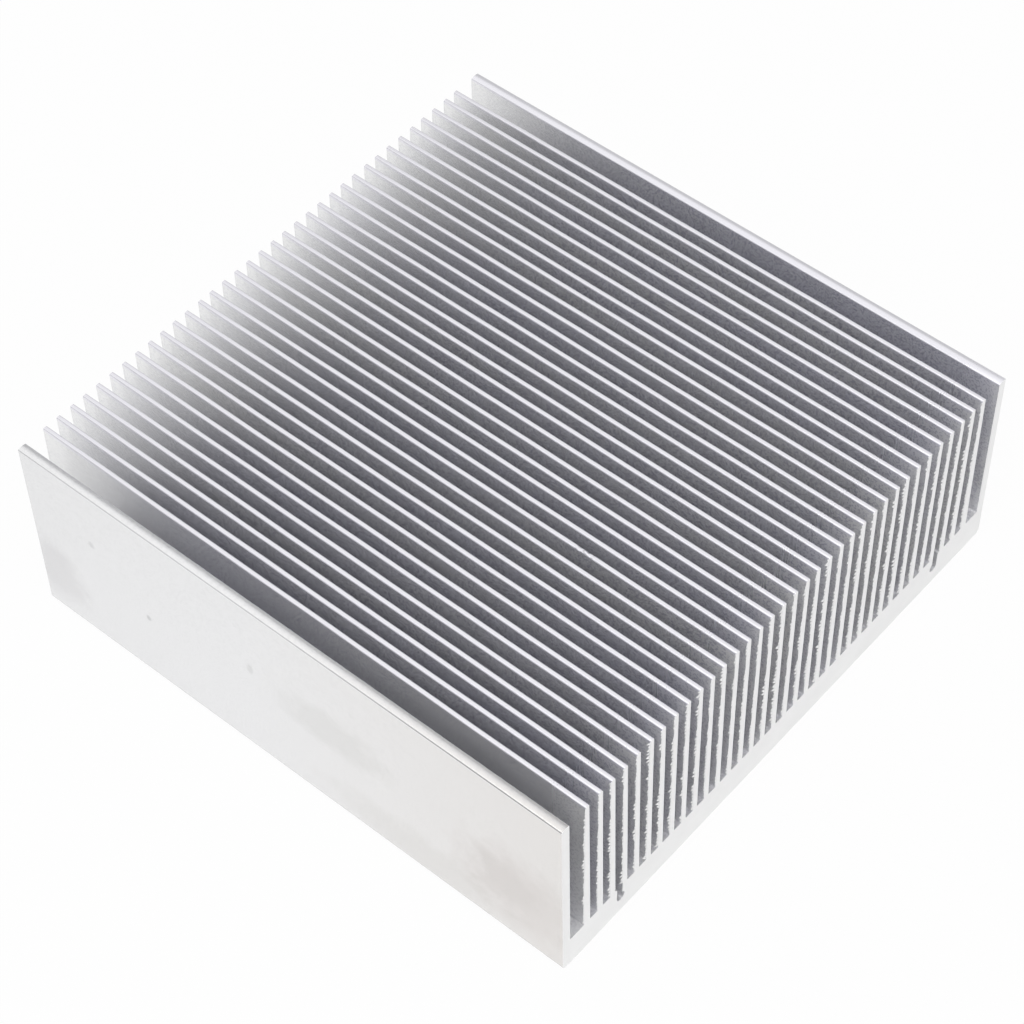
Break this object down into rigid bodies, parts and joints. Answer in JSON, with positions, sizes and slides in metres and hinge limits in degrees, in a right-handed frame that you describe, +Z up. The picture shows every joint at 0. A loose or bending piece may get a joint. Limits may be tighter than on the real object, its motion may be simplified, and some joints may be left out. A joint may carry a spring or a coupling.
{
  "type": "extruded fin heat sink",
  "caption": "Square extruded aluminium heat sink: a flat base with a dense comb of tall thin fins between two thicker side walls.",
  "frame": {"origin": "middle of the underside of the base", "axes": "+X across the fins, +Y along the fins and the extrusion, +Z up from the base to the fin tips"},
  "size_m": [0.1256, 0.1256, 0.0444],
  "materials": {
    "extruded_aluminium": "plain mill finish with a fine satin grain along the extrusion, saw-cut ends"
  },
  "bodies": {
    "root": {"heat_sink": "extruded_aluminium"}
  },
  "joints": []
}
